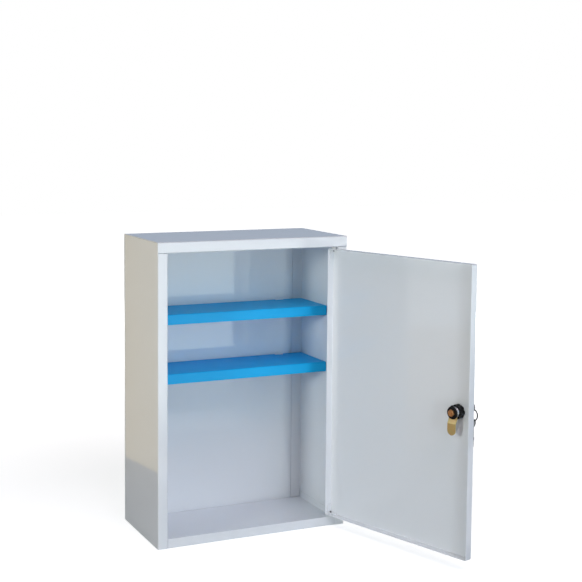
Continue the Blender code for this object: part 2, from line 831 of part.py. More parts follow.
def key_outline():
    """Y and Z of the key's edge: blade with its tip towards +Y and teeth on top, collar, shank and round bow."""
    half, collar = BLADE_WIDTH / 2, COLLAR_WIDTH / 2
    points = [(KEY_SHOULDER, -half), (KEY_TIP - half, -half), (KEY_TIP, -half * 0.3), (KEY_TIP, half * 0.3)]
    pitch = (BLADE_LENGTH - half) / (KEY_TEETH + 0.5)
    for tooth in range(KEY_TEETH):
        peak = KEY_TIP - half - tooth * pitch
        points += [(peak, half), (peak - pitch / 2, half - KEY_TOOTH)]
    points += [(KEY_SHOULDER, half), (KEY_SHOULDER, collar), (KEY_SHOULDER - COLLAR_LENGTH, collar)]
    points += [(KEY_SHOULDER - COLLAR_LENGTH, half)]
    meet = math.asin(half / BOW_RADIUS)
    points += arc((BOW_END + BOW_RADIUS, 0.0), BOW_RADIUS, meet, 2 * math.pi - meet, 28)
    points += [(KEY_SHOULDER - COLLAR_LENGTH, -half), (KEY_SHOULDER - COLLAR_LENGTH, -collar)]
    points += [(KEY_SHOULDER, -collar)]
    return points


def key_solid(name, origin, parent, finish):
    """A flat key whose own origin is at the given Y of the lock's frame."""
    half = BLADE_THICKNESS / 2
    outline = [(y - origin, z) for y, z in key_outline()]
    made = prism(name, outline, "x", -half, half, finish, parent)
    cut_round(
        made,
        f"{name}_hole",
        "x",
        (0.0, BOW_HOLE_Y - origin, 0.0),
        BOW_HOLE_DIAMETER / 2,
        -2 * half,
        2 * half,
        parent,
        ROUND_SEGMENTS,
    )
    return made


def key_ring(parent, finish):
    """A wire torus in the plane of X and Z, hung by its top from the key's bow hole."""
    around, sides = 28, 8
    points = []
    for i in range(around):
        angle = 2 * math.pi * i / around
        for u, v in circle(RING_WIRE / 2, segments=sides):
            radius = RING_RADIUS + u
            points.append((radius * math.sin(angle), v, radius * math.cos(angle) - RING_RADIUS))
    faces = []
    for i in range(around):
        for k in range(sides):
            a, b = i * sides + k, i * sides + (k + 1) % sides
            c, d = (i + 1) % around * sides + (k + 1) % sides, (i + 1) % around * sides + k
            faces.append((a, b, c, d))
    return mesh_object("key_ring", points, faces, finish, parent, smooth=True)


def build():
    clear_scene()
    white = material("white_powder_coat", (0.80, 0.82, 0.86), 0.25)
    blue = material("blue_powder_coat", (0.02, 0.25, 0.75), 0.35)
    steel = material("dark_steel", (0.30, 0.30, 0.31), 0.35, 1.0)
    chrome = material("lock_chrome", (0.80, 0.80, 0.80), 0.15, 1.0)
    yellow_zinc = material("yellow_zinc", (0.72, 0.55, 0.25), 0.35, 1.0)
    brass = material("brass", (0.70, 0.42, 0.20), 0.3, 1.0)
    black = material("black_plastic", (0.02, 0.02, 0.02), 0.4)
    nylon = material("white_nylon", (0.85, 0.85, 0.82), 0.5)
    rubber = material("grey_rubber", (0.10, 0.10, 0.10), 0.8)
    wire = material("black_wire", (0.03, 0.03, 0.05), 0.35, 1.0)

    side_panel(-1, white)
    side_panel(1, white)
    top_panel(white)
    bottom_panel(white)
    back_panel(white)
    shelf("upper_shelf", UPPER_SHELF_TOP, blue)
    shelf("lower_shelf", LOWER_SHELF_TOP, blue)
    lower_hinge_bracket(white)
    hinge_pins(steel)
    for word, middle in (("upper", DOOR_TOP - STOP_FROM_END), ("lower", DOOR_BOTTOM + STOP_FROM_END)):
        door_stop(f"{word}_door_stop", middle, white)
        door_buffer(f"{word}_door_buffer", middle, rubber)

    hinge = empty("hinge_axis", (HINGE_X, HINGE_Y, 0.0), turn=DOOR_OPEN)
    door_panel(hinge, white)
    for word in ("upper", "lower"):
        door_bracket(word, hinge, white)
        hinge_bush(word, hinge, nylon)

    lock = empty("lock_axis", (LOCK_X, -HINGE_BACK, LOCK_HEIGHT), hinge)
    lock_body(lock, chrome)
    lock_nut(lock, black)
    lock_plug(lock, brass)
    lock_cam(lock, yellow_zinc)
    cam_washer(lock, black)
    cam_nut(lock, brass)

    key_solid("key", 0.0, lock, steel)
    ring_top = empty("ring_axis", (0.0, BOW_HOLE_Y, -RING_SLACK), lock)
    key_ring(ring_top, wire)
    spare = empty("spare_axis", (0.0, 0.0, -2 * RING_RADIUS), ring_top)
    spare.rotation_euler = (-math.pi / 2, 0.0, 0.0)
    key_solid("spare_key", BOW_HOLE_Y - RING_SLACK, spare, steel)


build()
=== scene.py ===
"""Looks of a wall cabinet of white sheet steel with blue shelf trays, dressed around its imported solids.

All lengths are metres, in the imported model's own frame: +Z up, the door at -Y, its hinge at +X.
"""

import json
import math

import bmesh
import bpy
import numpy as np
from mathutils import Matrix, Vector

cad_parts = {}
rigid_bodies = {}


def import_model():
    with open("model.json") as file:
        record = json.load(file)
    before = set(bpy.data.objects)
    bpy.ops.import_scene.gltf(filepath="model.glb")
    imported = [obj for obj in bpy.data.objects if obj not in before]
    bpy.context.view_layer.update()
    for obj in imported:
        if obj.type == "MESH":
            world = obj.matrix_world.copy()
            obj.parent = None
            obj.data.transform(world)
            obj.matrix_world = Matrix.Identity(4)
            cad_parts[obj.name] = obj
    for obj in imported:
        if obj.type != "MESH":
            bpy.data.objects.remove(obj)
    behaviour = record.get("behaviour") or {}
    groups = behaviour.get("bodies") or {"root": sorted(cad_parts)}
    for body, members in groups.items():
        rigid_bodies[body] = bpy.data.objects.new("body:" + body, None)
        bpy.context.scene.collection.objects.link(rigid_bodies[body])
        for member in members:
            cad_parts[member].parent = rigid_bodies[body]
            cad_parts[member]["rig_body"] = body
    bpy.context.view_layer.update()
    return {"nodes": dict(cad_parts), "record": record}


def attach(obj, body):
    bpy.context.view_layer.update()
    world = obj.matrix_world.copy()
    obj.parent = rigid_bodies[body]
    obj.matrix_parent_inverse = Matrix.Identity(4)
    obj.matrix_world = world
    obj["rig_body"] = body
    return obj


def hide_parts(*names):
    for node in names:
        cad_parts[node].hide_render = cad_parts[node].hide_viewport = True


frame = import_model()

# Camera, fitted to the cabinet's edges in the photograph
CAMERA_AT = (-0.8253, -1.9031, 0.6887)
CAMERA_TURN = (84.984, -0.347, -24.156)
CAMERA_LENS = 75.70
CAMERA_SHIFT = (0.0687, -0.1031)

# Rounding of cut edges
BEVEL_SEGMENTS = 2
MERGE_DISTANCE = 1e-6
SHADING_WEIGHT = 100
SHEET_EDGE = 0.00022
SMALL_EDGE = 0.00018
HARD_ANGLE = math.radians(34)
FLAT_ANGLE = math.radians(0.6)
CAM_EDGE = 0.00025
CAM_BEND_ANGLE = math.radians(18)

# Lock, in its own frame: depths run inward from the door's outer face
NUT_LOBES = 8
LOBE_PLACES = 24
LOBE_POWER = 0.6
NUT_PEAK = 0.0120
NUT_VALLEY = 0.0104
NUT_BORE = 0.0091
NUT_BEVEL = 0.0007
NUT_NEAR = 0.0013
NUT_FAR = 0.0116
WASHER_RADIUS = 0.0100
WASHER_ROUND = 0.0006
WASHER_BORE = 0.0028
WASHER_NEAR = 0.0167
WASHER_FAR = 0.0182
WASHER_PLACES = 96
WASHER_RIM_ROWS = 9
HEX_FLAT = 0.0050
HEX_TURN = math.radians(45)
HEX_BORE = 0.0028
HEX_NEAR = 0.0185
HEX_FAR = 0.0220
HEX_CONE = 0.58
HEX_BEVEL = 0.0003
HEX_PLACES = 144
HEX_HARD_ANGLE = math.radians(24)
BODY_BORE = 0.0063
RIM_RADIUS = 0.0115
RIM_BEVEL = 0.00075
RIM_BACK_BEVEL = RIM_BEVEL / 4
RIM_FRONT = -0.0033
RIM_BACK = -0.0003
BARREL_RADIUS = 0.0088
BARREL_END = 0.0145
THREAD_PITCH = 0.0010
THREAD_DEPTH = 0.00035
THREAD_ROWS = 8
BODY_PLACES = 72

# Split key ring
RING_RADIUS = 0.0095
RING_WIRE = 0.00094
RING_LAYER = 0.00090
LAYER_FILL = 0.96
RING_START = 0.62
RING_TURNS = 2.0
RING_ROWS = 161
RING_PLACES = 24
RING_ROUND = 0.5

# Unevenness of the finishes
PEEL_SCALE = 420.0
WAVE_SCALE = 38.0
WAVE_HEIGHT = 3.0
CLOUD_SCALE = 9.0
CLOUD_GLOSS = 0.10
COAT_ROUGHNESS = 0.05
SCRATCH_SCALE = (2600.0, 2600.0, 260.0)
SCRATCH_GLOSS = 0.14
STAIN_FROM = 0.38
STAIN_TO = 0.66
GRAIN_DARK = 0.8
GRAIN_LIGHT = 1.2
GRAIN_GLOSS = 0.15

# Floor and surroundings
FLOOR_SIZE = 14.0
FLOOR_COLOR = (0.80, 0.81, 0.83)
FLOOR_ROUGHNESS = 0.8
FLOOR_GLOW = 0.66
GLOW_NEAR_TO = 0.35
GLOW_FAR_FROM = 1.5
WORLD_COLOR = (0.112, 0.113, 0.115)


def node_body(node):
    """The body that a CAD node rides on."""
    return frame["nodes"][node]["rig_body"]


# Node helpers for materials


def new_tree(name, base, roughness, metallic=0.0, specular=0.5):
    """A material with one Principled BSDF, and the plain values set on its own sockets."""
    material = bpy.data.materials.new(name)
    material.use_nodes = True
    tree = material.node_tree
    shader = tree.nodes["Principled BSDF"]
    shader.inputs["Base Color"].default_value = (*base, 1.0)
    shader.inputs["Roughness"].default_value = roughness
    shader.inputs["Metallic"].default_value = metallic
    shader.inputs["Specular IOR Level"].default_value = specular
    return material, tree, shader


def add(tree, kind, **values):
    """A node with its plain properties or input values set."""
    node = tree.nodes.new(kind)
    for key, value in values.items():
        if hasattr(node, key):
            setattr(node, key, value)
        else:
            node.inputs[key.replace("_", " ").title()].default_value = value
    return node


def link(tree, start, end):
    """Joins an output socket to an input socket."""
    tree.links.new(start, end)


def group_tree(name, inputs, outputs):
    """An empty node group with float or colour sockets."""
    tree = bpy.data.node_groups.new(name, "ShaderNodeTree")
    kinds = {"float": "NodeSocketFloat", "color": "NodeSocketColor"}
    for label, kind, value in inputs:
        socket = tree.interface.new_socket(label, in_out="INPUT", socket_type=kinds[kind])
        socket.default_value = value
    for label, kind in outputs:
        tree.interface.new_socket(label, in_out="OUTPUT", socket_type=kinds[kind])
    return tree, tree.nodes.new("NodeGroupInput"), tree.nodes.new("NodeGroupOutput")


def place(tree, group, **values):
    """A group placed in a material, with its own values."""
    node = tree.nodes.new("ShaderNodeGroup")
    node.node_tree = group
    for key, value in values.items():
        node.inputs[key.replace("_", " ")].default_value = value
    return node


def powder_coat_group():
    """Sprayed powder: a fine orange peel, slow waves, and a faint unevenness of colour and gloss."""
    tree, inside, outside = group_tree(
        "powder_coat",
        [
            ("Color", "color", (0.8, 0.8, 0.8, 1.0)),
            ("Deep Color", "color", (0.7, 0.7, 0.7, 1.0)),
            ("Roughness", "float", 0.3),
        ],
        [("Color", "color"), ("Roughness", "float"), ("Height", "float")],
    )
    where = tree.nodes.new("ShaderNodeTexCoord").outputs["Object"]
    peel = add(tree, "ShaderNodeTexNoise", scale=PEEL_SCALE, detail=2.0)
    waves = add(tree, "ShaderNodeTexNoise", scale=WAVE_SCALE, detail=1.0)
    cloud = add(tree, "ShaderNodeTexNoise", scale=CLOUD_SCALE, detail=3.0)
    link(tree, where, peel.inputs["Vector"])
    link(tree, where, waves.inputs["Vector"])
    link(tree, where, cloud.inputs["Vector"])
    mix = add(tree, "ShaderNodeMix", data_type="RGBA")
    link(tree, cloud.outputs["Fac"], mix.inputs["Factor"])
    link(tree, inside.outputs["Color"], mix.inputs[6])
    link(tree, inside.outputs["Deep Color"], mix.inputs[7])
    link(tree, mix.outputs[2], outside.inputs["Color"])
    spread = add(tree, "ShaderNodeMath", operation="MULTIPLY_ADD")
    link(tree, cloud.outputs["Fac"], spread.inputs[0])
    spread.inputs[1].default_value = CLOUD_GLOSS
    link(tree, inside.outputs["Roughness"], spread.inputs[2])
    link(tree, spread.outputs[0], outside.inputs["Roughness"])
    height = add(tree, "ShaderNodeMath", operation="MULTIPLY_ADD")
    link(tree, waves.outputs["Fac"], height.inputs[0])
    height.inputs[1].default_value = WAVE_HEIGHT
    link(tree, peel.outputs["Fac"], height.inputs[2])
    link(tree, height.outputs[0], outside.inputs["Height"])
    return tree


def plated_group():
    """Plating: fine scratches drawn one way, cloudy stains, and a tint that wanders between two colours."""
    tree, inside, outside = group_tree(
        "plated_metal",
        [
            ("Color", "color", (0.8, 0.8, 0.8, 1.0)),
            ("Stain Color", "color", (0.6, 0.6, 0.6, 1.0)),
            ("Roughness", "float", 0.3),
            ("Stain Scale", "float", 160.0),
        ],
        [("Color", "color"), ("Roughness", "float"), ("Height", "float")],
    )
    where = tree.nodes.new("ShaderNodeTexCoord").outputs["Object"]
    drawn = add(tree, "ShaderNodeMapping")
    drawn.inputs["Scale"].default_value = SCRATCH_SCALE
    link(tree, where, drawn.inputs["Vector"])
    scratch = add(tree, "ShaderNodeTexNoise", scale=1.0, detail=3.0)
    link(tree, drawn.outputs["Vector"], scratch.inputs["Vector"])
    stain = add(tree, "ShaderNodeTexNoise", detail=4.0)
    link(tree, where, stain.inputs["Vector"])
    link(tree, inside.outputs["Stain Scale"], stain.inputs["Scale"])
    ramp = add(tree, "ShaderNodeMapRange")
    ramp.inputs["From Min"].default_value = STAIN_FROM
    ramp.inputs["From Max"].default_value = STAIN_TO
    link(tree, stain.outputs["Fac"], ramp.inputs["Value"])
    mix = add(tree, "ShaderNodeMix", data_type="RGBA")
    link(tree, ramp.outputs["Result"], mix.inputs["Factor"])
    link(tree, inside.outputs["Color"], mix.inputs[6])
    link(tree, inside.outputs["Stain Color"], mix.inputs[7])
    link(tree, mix.outputs[2], outside.inputs["Color"])
    rough = add(tree, "ShaderNodeMath", operation="MULTIPLY_ADD")
    link(tree, scratch.outputs["Fac"], rough.inputs[0])
    rough.inputs[1].default_value = SCRATCH_GLOSS
    link(tree, inside.outputs["Roughness"], rough.inputs[2])
    link(tree, rough.outputs[0], outside.inputs["Roughness"])
    link(tree, scratch.outputs["Fac"], outside.inputs["Height"])
    return tree


def moulded_group():
    """Moulded plastic or rubber: a fine spark-eroded grain and a slight change of gloss."""
    tree, inside, outside = group_tree(
        "moulded_plastic",
        [
            ("Color", "color", (0.1, 0.1, 0.1, 1.0)),
            ("Roughness", "float", 0.4),
            ("Grain Scale", "float", 2200.0),
        ],
        [("Color", "color"), ("Roughness", "float"), ("Height", "float")],
    )
    where = tree.nodes.new("ShaderNodeTexCoord").outputs["Object"]
    grain = add(tree, "ShaderNodeTexNoise", detail=2.0)
    link(tree, where, grain.inputs["Vector"])
    link(tree, inside.outputs["Grain Scale"], grain.inputs["Scale"])
    tone = add(tree, "ShaderNodeMapRange")
    tone.inputs["To Min"].default_value = GRAIN_DARK
    tone.inputs["To Max"].default_value = GRAIN_LIGHT
    link(tree, grain.outputs["Fac"], tone.inputs["Value"])
    shade = add(tree, "ShaderNodeVectorMath", operation="SCALE")
    link(tree, inside.outputs["Color"], shade.inputs[0])
    link(tree, tone.outputs["Result"], shade.inputs["Scale"])
    link(tree, shade.outputs[0], outside.inputs["Color"])
    rough = add(tree, "ShaderNodeMath", operation="MULTIPLY_ADD")
    link(tree, grain.outputs["Fac"], rough.inputs[0])
    rough.inputs[1].default_value = GRAIN_GLOSS
    link(tree, inside.outputs["Roughness"], rough.inputs[2])
    link(tree, rough.outputs[0], outside.inputs["Roughness"])
    link(tree, grain.outputs["Fac"], outside.inputs["Height"])
    return tree


GROUPS = {"powder": powder_coat_group(), "plated": plated_group(), "moulded": moulded_group()}


def finish_material(name, kind, color, roughness, relief, metallic=0.0, coat=0.0, specular=0.5, **values):
    """A material whose colour, roughness and relief come from one of the finish groups."""
    material, tree, shader = new_tree(name, color, roughness, metallic, specular)
    shader.inputs["Coat Weight"].default_value = coat
    shader.inputs["Coat Roughness"].default_value = COAT_ROUGHNESS
    finish = place(tree, GROUPS[kind], Color=(*color, 1.0), Roughness=roughness, **values)
    bump = add(tree, "ShaderNodeBump")
    bump.inputs["Distance"].default_value = relief
    bump.inputs["Strength"].default_value = 1.0
    link(tree, finish.outputs["Color"], shader.inputs["Base Color"])
    link(tree, finish.outputs["Roughness"], shader.inputs["Roughness"])
    link(tree, finish.outputs["Height"], bump.inputs["Height"])
    link(tree, bump.outputs["Normal"], shader.inputs["Normal"])
    return material


MATERIALS = {
    "white_powder_coat": finish_material(
        "white_powder_coat", "powder", (0.87, 0.886, 0.910), 0.40, 0.000008, coat=0.9, specular=0.15,
        Deep_Color=(0.85, 0.870, 0.898, 1.0),
    ),
    "blue_powder_coat": finish_material(
        "blue_powder_coat", "powder", (0.006, 0.480, 0.930), 0.44, 0.000008, specular=0.22,
        Deep_Color=(0.005, 0.450, 0.900, 1.0),
    ),
    "dark_steel": finish_material(
        "dark_steel", "plated", (0.17, 0.17, 0.18), 0.26, 0.000004, metallic=1.0,
        Stain_Color=(0.12, 0.12, 0.13, 1.0), Stain_Scale=180.0,
    ),
    "lock_chrome": finish_material(
        "lock_chrome", "plated", (0.30, 0.30, 0.32), 0.20, 0.000001, metallic=1.0,
        Stain_Color=(0.25, 0.25, 0.27, 1.0), Stain_Scale=120.0,
    ),
    "yellow_zinc": finish_material(
        "yellow_zinc", "plated", (0.58, 0.42, 0.20), 0.24, 0.000005, metallic=0.85,
        Stain_Color=(0.54, 0.46, 0.21, 1.0), Stain_Scale=150.0,
    ),
    "brass": finish_material(
        "brass", "plated", (0.52, 0.27, 0.12), 0.24, 0.000004, metallic=1.0,
        Stain_Color=(0.40, 0.20, 0.09, 1.0), Stain_Scale=260.0,
    ),
    "black_plastic": finish_material(
        "black_plastic", "moulded", (0.004, 0.004, 0.005), 0.30, 0.000006, specular=0.16,
        Grain_Scale=2400.0,
    ),
    "white_nylon": finish_material(
        "white_nylon", "moulded", (0.80, 0.80, 0.76), 0.40, 0.000005, Grain_Scale=1800.0
    ),
    "grey_rubber": finish_material(
        "grey_rubber", "moulded", (0.09, 0.09, 0.095), 0.72, 0.00002, Grain_Scale=1500.0
    ),
    "black_wire": finish_material(
        "black_wire", "plated", (0.008, 0.008, 0.012), 0.30, 0.000003, specular=0.22,
        Stain_Color=(0.005, 0.005, 0.008, 1.0), Stain_Scale=400.0,
    ),
}


# Pieces from CAD nodes, with their cut edges rounded


def softened(node, slot, edge, hard=HARD_ANGLE):
    """Puts a copy of a CAD node in its place, merged and with its cut edges rounded to the given radius.

    A fold keeps its facets, which are shaded smooth. Each edge sharper than the hard angle is bevelled.
    """
    mesh = frame["nodes"][node].data.copy()
    mesh.name = f"{node}_finished"
    shape = bmesh.new()
    shape.from_mesh(mesh)
    bmesh.ops.remove_doubles(shape, verts=shape.verts, dist=MERGE_DISTANCE)
    bmesh.ops.dissolve_limit(
        shape, angle_limit=FLAT_ANGLE, verts=shape.verts, edges=shape.edges, use_dissolve_boundaries=False
    )
    folds = [item for item in shape.edges if len(item.link_faces) == 2]
    sharp = [item for item in folds if item.calc_face_angle(0.0) > hard]
    bmesh.ops.bevel(
        shape, geom=sharp, offset=edge, segments=BEVEL_SEGMENTS, profile=0.5, affect="EDGES",
        clamp_overlap=True,
    )
    bmesh.ops.triangulate(shape, faces=[face for face in shape.faces if len(face.verts) > 4])
    shape.to_mesh(mesh)
    shape.free()
    for attribute in list(mesh.attributes):
        if attribute.name.startswith("custom_normal"):
            mesh.attributes.remove(attribute)
    mesh.shade_smooth()
    mesh.set_sharp_from_angle(angle=hard)
    piece = bpy.data.objects.new(f"{node}_finished", mesh)
    bpy.context.scene.collection.objects.link(piece)
    weighted = piece.modifiers.new("even_shading", "WEIGHTED_NORMAL")
    weighted.keep_sharp = True
    weighted.weight = SHADING_WEIGHT
    mesh.materials.clear()
    mesh.materials.append(MATERIALS[slot])
    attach(piece, node_body(node))
    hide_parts(node)


SHEETS = [
    "left_side_panel", "right_side_panel", "top_panel", "bottom_panel", "back_panel", "upper_shelf",
    "lower_shelf", "lower_hinge_bracket", "upper_door_stop", "lower_door_stop", "door_panel",
    "door_upper_bracket", "door_lower_bracket",
]
SLOT_OF = {item["node"]: item["material_slot"] for item in frame["record"]["subparts"]}
DRAWN_HERE = ["lock_body", "lock_nut", "cam_washer", "cam_nut", "key_ring"]

for node_name in sorted(SLOT_OF):
    if node_name in SHEETS:
        softened(node_name, SLOT_OF[node_name], SHEET_EDGE)
    elif node_name == "lock_cam":
        softened(node_name, SLOT_OF[node_name], CAM_EDGE, hard=CAM_BEND_ANGLE)
    elif node_name not in DRAWN_HERE:
        softened(node_name, SLOT_OF[node_name], SMALL_EDGE)


# The lock's and the ring's surfaces, in the lock's frame: across, inward along the lock's axis, and up

JOINTS = {item["name"]: item for item in frame["record"]["behaviour"]["joints"]}
LOCK_AT = np.array(JOINTS["lock_turn"]["pos_m"])
INWARD = np.array(JOINTS["lock_turn"]["axis"])
UP = np.array((0.0, 0.0, 1.0))
ACROSS = np.cross(INWARD, UP)


def from_lock(points):
    """Points given as across, inward and up from the lock's place, in the model's frame."""
    return LOCK_AT + points[..., 0:1] * ACROSS + points[..., 1:2] * INWARD + points[..., 2:3] * UP


def grid_mesh(name, grid, closed):
    """A closed shell over a grid of points, rows by places around.

    Each row is a loop. Where closed is true, the last row joins the first one, and else both end rows are
    capped.
    """
    rows, around = grid.shape[:2]
    points = grid.reshape(-1, 3)
    here = np.arange(rows * around).reshape(rows, around)
    beside = np.roll(here, -1, axis=1)
    below, below_beside = np.roll(here, -1, axis=0), np.roll(beside, -1, axis=0)
    last = rows if closed else rows - 1
    quads = np.stack([here[:last], beside[:last], below_beside[:last], below[:last]], -1).reshape(-1, 4)
    corners = points[quads] - points.mean(axis=0)
    volume = np.einsum("ij,ij->i", corners[:, 0], np.cross(corners[:, 1], corners[:, 2])).sum()
    volume += np.einsum("ij,ij->i", corners[:, 0], np.cross(corners[:, 2], corners[:, 3])).sum()
    faces = [tuple(quad) for quad in quads.tolist()]
    if not closed:
        faces += [tuple(here[0][::-1].tolist()), tuple(here[-1].tolist())]
    if volume < 0:
        faces = [face[::-1] for face in faces]
    mesh = bpy.data.meshes.new(name)
    mesh.from_pydata(points.tolist(), [], faces)
    return mesh


def drawn(node, grid, closed=True, hard=HARD_ANGLE):
    """Puts a piece drawn here in a CAD node's place, with that node's finish and body."""
    mesh = grid_mesh(f"{node}_finished", from_lock(grid), closed)
    mesh.shade_smooth()
    mesh.set_sharp_from_angle(angle=hard)
    mesh.materials.append(MATERIALS[SLOT_OF[node]])
    piece = bpy.data.objects.new(f"{node}_finished", mesh)
    bpy.context.scene.collection.objects.link(piece)
    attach(piece, node_body(node))
    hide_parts(node)


def turned_grid(angles, rows):
    """Rows of radius and depth, each a number or one value per angle, carried round the lock's axis."""
    grid = np.zeros((len(rows), len(angles), 3))
    for row, (radius, depth) in enumerate(rows):
        grid[row, :, 0] = radius * np.cos(angles)
        grid[row, :, 1] = depth
        grid[row, :, 2] = radius * np.sin(angles)
    return grid


def around_angles(count):
    """Evenly spaced angles round a full circle."""
    return np.linspace(0.0, 2.0 * math.pi, count, endpoint=False)


def lock_nut():
    """The clamping nut: from valley to peak, the radius follows a cosine's size, raised to a power."""
    angles = around_angles(NUT_LOBES * LOBE_PLACES)
    lobe = np.abs(np.cos(NUT_LOBES * angles / 2)) ** LOBE_POWER
    radius = NUT_VALLEY + (NUT_PEAK - NUT_VALLEY) * lobe
    rows = [
        (NUT_BORE, NUT_NEAR), (radius - NUT_BEVEL, NUT_NEAR), (radius, NUT_NEAR + NUT_BEVEL),
        (radius, NUT_FAR - NUT_BEVEL), (radius - NUT_BEVEL, NUT_FAR), (NUT_BORE, NUT_FAR),
    ]
    drawn("lock_nut", turned_grid(angles, rows))


def cam_washer():
    """A flat black disc with a rounded rim: the rim's rows follow a half circle."""
    half, middle = (WASHER_FAR - WASHER_NEAR) / 2, (WASHER_FAR + WASHER_NEAR) / 2
    swing = np.linspace(-math.pi / 2, math.pi / 2, WASHER_RIM_ROWS)
    rows = [(WASHER_BORE, WASHER_NEAR)]
    for turn in swing:
        radius = WASHER_RADIUS - WASHER_ROUND * (1 - math.cos(turn))
        rows.append((radius, middle + half * math.sin(turn)))
    rows.append((WASHER_BORE, WASHER_FAR))
    drawn("cam_washer", turned_grid(around_angles(WASHER_PLACES), rows))


def cam_nut():
    """A hexagon nut: its radius is the flat's over the cosine of the angle to that flat's middle.

    A cone cuts back the outer corners.
    """
    angles = around_angles(HEX_PLACES)
    to_flat = (angles - HEX_TURN + math.pi / 6) % (math.pi / 3) - math.pi / 6
    radius = HEX_FLAT / np.cos(to_flat)
    drop = (radius - HEX_FLAT) * HEX_CONE + HEX_BEVEL
    rows = [
        (HEX_BORE, HEX_NEAR), (radius, HEX_NEAR), (radius, HEX_FAR - drop), (HEX_FLAT - HEX_BEVEL, HEX_FAR),
        (HEX_BORE + HEX_BEVEL, HEX_FAR), (HEX_BORE, HEX_FAR - HEX_BEVEL),
    ]
    drawn("cam_nut", turned_grid(angles, rows), hard=HEX_HARD_ANGLE)


def lock_body():
    """The lock's barrel and rim: the thread's radius falls and rises once a pitch as it winds round."""
    angles = around_angles(BODY_PLACES)
    rows = [
        (BODY_BORE, RIM_FRONT), (RIM_RADIUS - RIM_BEVEL, RIM_FRONT), (RIM_RADIUS, RIM_FRONT + RIM_BEVEL),
        (RIM_RADIUS, RIM_BACK - RIM_BACK_BEVEL), (RIM_RADIUS - RIM_BACK_BEVEL, RIM_BACK),
        (BARREL_RADIUS, RIM_BACK),
    ]
    for depth in np.arange(RIM_BACK + THREAD_PITCH, BARREL_END - THREAD_PITCH, THREAD_PITCH / THREAD_ROWS):
        wave = np.abs(((depth / THREAD_PITCH - angles / (2.0 * math.pi)) % 1.0) * 2.0 - 1.0)
        rows.append((BARREL_RADIUS - THREAD_DEPTH * wave, depth))
    rows += [
        (BARREL_RADIUS - THREAD_DEPTH, BARREL_END - THREAD_PITCH / 2),
        (BARREL_RADIUS - 2 * THREAD_DEPTH, BARREL_END),
        (BODY_BORE, BARREL_END),
    ]
    drawn("lock_body", turned_grid(angles, rows))


def key_ring():
    """A split ring: a flat-faced wire wound twice round, its depth rising by one wire's thickness a turn.

    The two turns share one round section. A turn's width at a depth is the chord of that circle, and its
    faces are rounded as a superellipse of the fourth power.
    """
    swing_at = np.array(JOINTS["ring_swing"]["pos_m"]) - LOCK_AT
    top = np.array((swing_at @ ACROSS, swing_at @ INWARD, swing_at @ UP))
    turns = np.linspace(RING_START, RING_START + RING_TURNS, RING_ROWS)
    side = around_angles(RING_PLACES)
    round_u = np.sign(np.cos(side)) * np.abs(np.cos(side)) ** RING_ROUND
    round_v = np.sign(np.sin(side)) * np.abs(np.sin(side)) ** RING_ROUND
    grid = np.zeros((len(turns), len(side), 3))
    for row, turn in enumerate(turns):
        angle = 2.0 * math.pi * turn
        depth = (turn - RING_START - RING_TURNS / 2) * RING_LAYER + RING_LAYER / 2 * LAYER_FILL * round_v
        chord = np.sqrt(np.maximum(RING_WIRE ** 2 - depth ** 2, 0.0))
        radius = RING_RADIUS + np.clip(RING_WIRE * round_u, -chord, chord)
        grid[row, :, 0] = top[0] + radius * math.sin(angle)
        grid[row, :, 1] = top[1] + depth
        grid[row, :, 2] = top[2] - RING_RADIUS + radius * math.cos(angle)
    drawn("key_ring", grid, closed=False)


for draw in (lock_nut, cam_washer, cam_nut, lock_body, key_ring):
    draw()


# Studio


def stage_plane(name, width, depth, at, turn, material, only_reflected=False):
    """A flat sheet of the studio, such as the floor or a card that shows only in reflections."""
    half = np.array([[-1, -1, 0], [1, -1, 0], [1, 1, 0], [-1, 1, 0]], float) * (width / 2, depth / 2, 0)
    mesh = bpy.data.meshes.new(name)
    mesh.from_pydata(half.tolist(), [], [(0, 1, 2, 3)])
    mesh.materials.append(material)
    item = bpy.data.objects.new(name, mesh)
    item.location = at
    item.rotation_euler = [math.radians(angle) for angle in turn]
    item.visible_camera = not only_reflected
    item.visible_diffuse = not only_reflected
    item.visible_shadow = not only_reflected
    bpy.context.scene.collection.objects.link(item)


def softbox(name, at, aim, width, height, power, color):
    """A rectangular lamp that points at a place."""
    lamp = bpy.data.lights.new(name, "AREA")
    lamp.shape = "RECTANGLE"
    lamp.size = width
    lamp.size_y = height
    lamp.energy = power
    lamp.color = color
    item = bpy.data.objects.new(name, lamp)
    item.location = at
    item.rotation_euler = (Vector(aim) - Vector(at)).to_track_quat("-Z", "Y").to_euler()
    item.visible_camera = False
    bpy.context.scene.collection.objects.link(item)


def shown_white(tree):
    """The share of the shader that the camera, mirrors and glass see as a white backdrop."""
    path = tree.nodes.new("ShaderNodeLightPath")
    first = add(tree, "ShaderNodeMath", operation="MAXIMUM")
    link(tree, path.outputs["Is Camera Ray"], first.inputs[0])
    link(tree, path.outputs["Is Glossy Ray"], first.inputs[1])
    second = add(tree, "ShaderNodeMath", operation="MAXIMUM")
    link(tree, first.outputs[0], second.inputs[0])
    link(tree, path.outputs["Is Transmission Ray"], second.inputs[1])
    return second.outputs[0]


